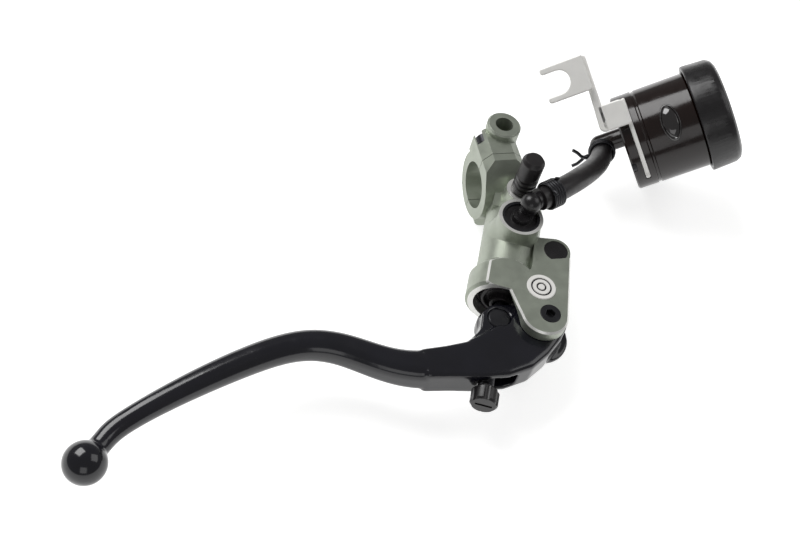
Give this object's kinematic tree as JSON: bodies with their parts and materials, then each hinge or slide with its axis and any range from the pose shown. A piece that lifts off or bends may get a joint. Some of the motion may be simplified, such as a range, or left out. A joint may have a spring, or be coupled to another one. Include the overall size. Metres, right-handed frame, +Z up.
{
  "type": "radial brake master cylinder with remote reservoir",
  "caption": "Radial front brake master cylinder with curved ball-end lever, split handlebar clamp, feed hose and remote screw-cap fluid reservoir on a bent bracket.",
  "frame": {"origin": "on the handlebar axis inside the clamp bore, ten millimetres inboard of the clamp's lever-side face", "axes": "+X along the handlebar towards the lever tip, +Y forward away from the rider, +Z up along the lever pivot"},
  "size_m": [0.3327, 0.1727, 0.0705],
  "materials": {
    "case": "satin hard-anodised casting with machined rims",
    "lever": "gloss black coating on forged aluminium",
    "steel": "bright zinc-plated steel",
    "black_steel": "black oxide steel",
    "badge": "bright machined",
    "bronze": "plain bearing bronze",
    "hard_black": "moulded black plastic",
    "rubber": "black rubber",
    "smoke": "dark smoke-brown translucent plastic"
  },
  "bodies": {
    "case": {"cylinder_body": "case", "clamp_cap": "case", "clamp_bolts": "steel", "return_spring": "steel", "stop_washer": "steel", "retaining_ring": "black_steel", "dust_boot": "rubber", "pivot_bolt": "black_steel", "pivot_nut": "black_steel", "badge_disc": "badge", "outlet_plug": "hard_black", "bleed_screw": "steel", "feed_elbow": "hard_black", "feed_seal": "rubber", "feed_circlip": "black_steel", "feed_hose": "rubber", "hose_clip_lower": "black_steel", "hose_clip_upper": "black_steel", "reservoir_body": "smoke", "reservoir_bracket": "steel", "bracket_screws": "steel"},
    "lever": {"lever": "lever", "pivot_bush": "bronze"},
    "barrel_nut": {"barrel_nut": "steel"},
    "pushrod": {"pushrod": "black_steel", "adjuster_knob": "hard_black"},
    "piston": {"piston": "badge", "primary_seal": "rubber", "secondary_seal": "rubber"},
    "diaphragm": {"reservoir_diaphragm": "rubber", "diaphragm_plate": "hard_black"},
    "reservoir_cap": {"reservoir_cap": "hard_black"},
    "bleed_cap": {"bleed_cap": "rubber"}
  },
  "joints": [
    {"name": "lever_pull", "type": "hinge", "parent": "case", "child": "lever", "pos_m": [0.00095, 0.08296, 0], "axis": [0, 0, -1], "range_deg": [0, 18], "stiffness_Nm_per_rad": 0.6, "springref_deg": -38.39},
    {"name": "barrel_nut_turn", "type": "hinge", "parent": "lever", "child": "barrel_nut", "pos_m": [0.02055, 0.07786, 0], "axis": [0, 0, 1], "range_deg": [0, 18]},
    {"name": "adjuster_turn", "type": "hinge", "parent": "barrel_nut", "child": "pushrod", "pos_m": [0.01928, 0.07495, 0], "axis": [0.4003, 0.9164, 0], "range_deg": [-540, 540]},
    {"name": "piston_stroke", "type": "slide", "parent": "case", "child": "piston", "axis": [-0.4003, -0.9164, 0], "range_m": [0, 0.00634], "deforming": ["return_spring", "dust_boot"]},
    {"name": "diaphragm_lift", "type": "slide", "parent": "case", "child": "diaphragm", "axis": [-0.8469, 0.0711, 0.527], "range_m": [0, 0.012]},
    {"name": "cap_turn", "type": "hinge", "parent": "diaphragm", "child": "reservoir_cap", "pos_m": [-0.0739, -0.0179, 0.0036], "axis": [-0.8469, 0.0711, 0.527], "range_deg": [0, 1080]},
    {"name": "bleed_cap_pull", "type": "slide", "parent": "case", "child": "bleed_cap", "axis": [0, 0, 1], "range_m": [0, 0.022]}
  ],
  "couplings": [
    {"joint": "barrel_nut_turn", "follows": "lever_pull", "ratio": 1},
    {"joint": "piston_stroke", "follows": "lever_pull", "m_per_rad": 0.020166},
    {"joint": "cap_turn", "follows": "diaphragm_lift", "rad_per_m": 1570.8}
  ]
}
